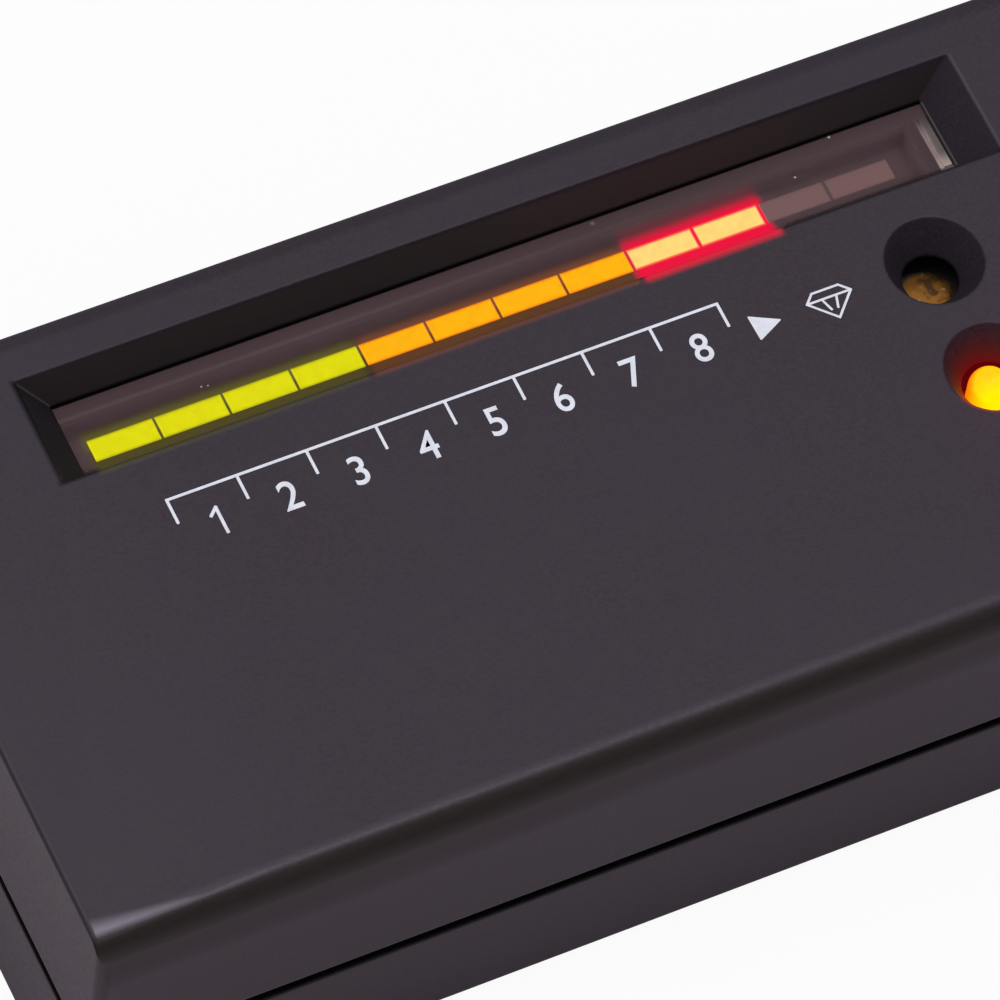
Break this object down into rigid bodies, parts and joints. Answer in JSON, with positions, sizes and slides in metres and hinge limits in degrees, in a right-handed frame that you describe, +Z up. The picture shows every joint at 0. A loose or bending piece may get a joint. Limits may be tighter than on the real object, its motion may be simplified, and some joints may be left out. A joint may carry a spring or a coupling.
{
  "type": "gemstone tester",
  "caption": "Hand-held gemstone tester: moulded two-part case with a sunk lamp bar display, ready lamp, sounder, side thumbwheel, sprung copper probe and battery bay.",
  "frame": {"origin": "middle of the case's underside, between its long sides and between its tail and front faces", "axes": "+X along the case to the probe, +Y across to the display side, +Z up through the top face"},
  "size_m": [0.155, 0.048, 0.0265],
  "materials": {
    "case_black": "satin, fine moulded grain",
    "nose_black": "satin, turned",
    "wheel_black": "satin",
    "window_smoke": "clear smoked sheet",
    "tape": "thin translucent tape",
    "holder_black": "matte",
    "led_green": "diffused lens, lit",
    "led_amber": "diffused lens, lit",
    "led_red": "diffused lens, lit in part",
    "lamp_red": "clear lens, lit",
    "white_plastic": "satin",
    "print_white": "printed ink",
    "brass": "dull",
    "copper": "polished",
    "steel": "plated",
    "white_ceramic": "matte",
    "board_green": "semi-gloss mask",
    "chip_black": "matte",
    "can_blue": "shrink sleeve",
    "trimmer_blue": "gloss",
    "resistor_tan": "lacquered",
    "battery_jacket": "plain printed metal jacket",
    "snap_vinyl": "soft vinyl",
    "lead_red": "soft vinyl",
    "lead_black": "soft vinyl",
    "lead_yellow": "soft vinyl"
  },
  "bodies": {
    "case": {"upper_case": "case_black", "lower_case": "case_black", "case_screws": "steel", "display_window": "window_smoke", "window_tape": "tape", "led_holder": "holder_black", "green_leds": "led_green", "amber_leds": "led_amber", "red_leds": "led_red", "ready_lamp": "lamp_red", "lamp_spacer": "white_plastic", "sounder_disc": "brass", "sounder_ceramic": "white_ceramic", "sounder_leads": "lead_red", "main_board": "board_green", "board_screws": "steel", "driver_chip": "chip_black", "amplifier_chip": "chip_black", "capacitors": "can_blue", "trimmers": "trimmer_blue", "resistors": "resistor_tan", "pot_body": "chip_black", "battery": "battery_jacket", "battery_terminals": "steel", "battery_snap": "snap_vinyl", "snap_contacts": "steel", "battery_lead_red": "lead_red", "battery_lead_black": "lead_black", "nose_cone": "nose_black", "spring_plug": "white_plastic", "probe_spring": "steel", "probe_leads": "lead_yellow"},
    "wheel": {"thumbwheel": "wheel_black", "pot_shaft": "steel", "wheel_screw": "steel"},
    "probe": {"probe_plunger": "brass", "probe_sleeve": "steel", "probe_tip": "copper", "heater": "white_ceramic"},
    "door": {"battery_door": "case_black"}
  },
  "joints": [
    {"name": "wheel_turn", "type": "hinge", "parent": "case", "child": "wheel", "pos_m": [0.039, 0.015, 0.0203], "axis": [0, 0, 1], "range_deg": [-150, 150]},
    {"name": "probe_slide", "type": "slide", "parent": "case", "child": "probe", "axis": [-1, 0, 0], "range_m": [0, 0.0015], "stiffness_N_per_m": 400, "springref_m": -0.001, "deforming": ["probe_spring", "probe_leads"]},
    {"name": "door_tilt", "type": "hinge", "parent": "case", "child": "door", "pos_m": [-0.01025, 0, 0.00105], "axis": [0, -1, 0], "range_deg": [0, 35]}
  ]
}
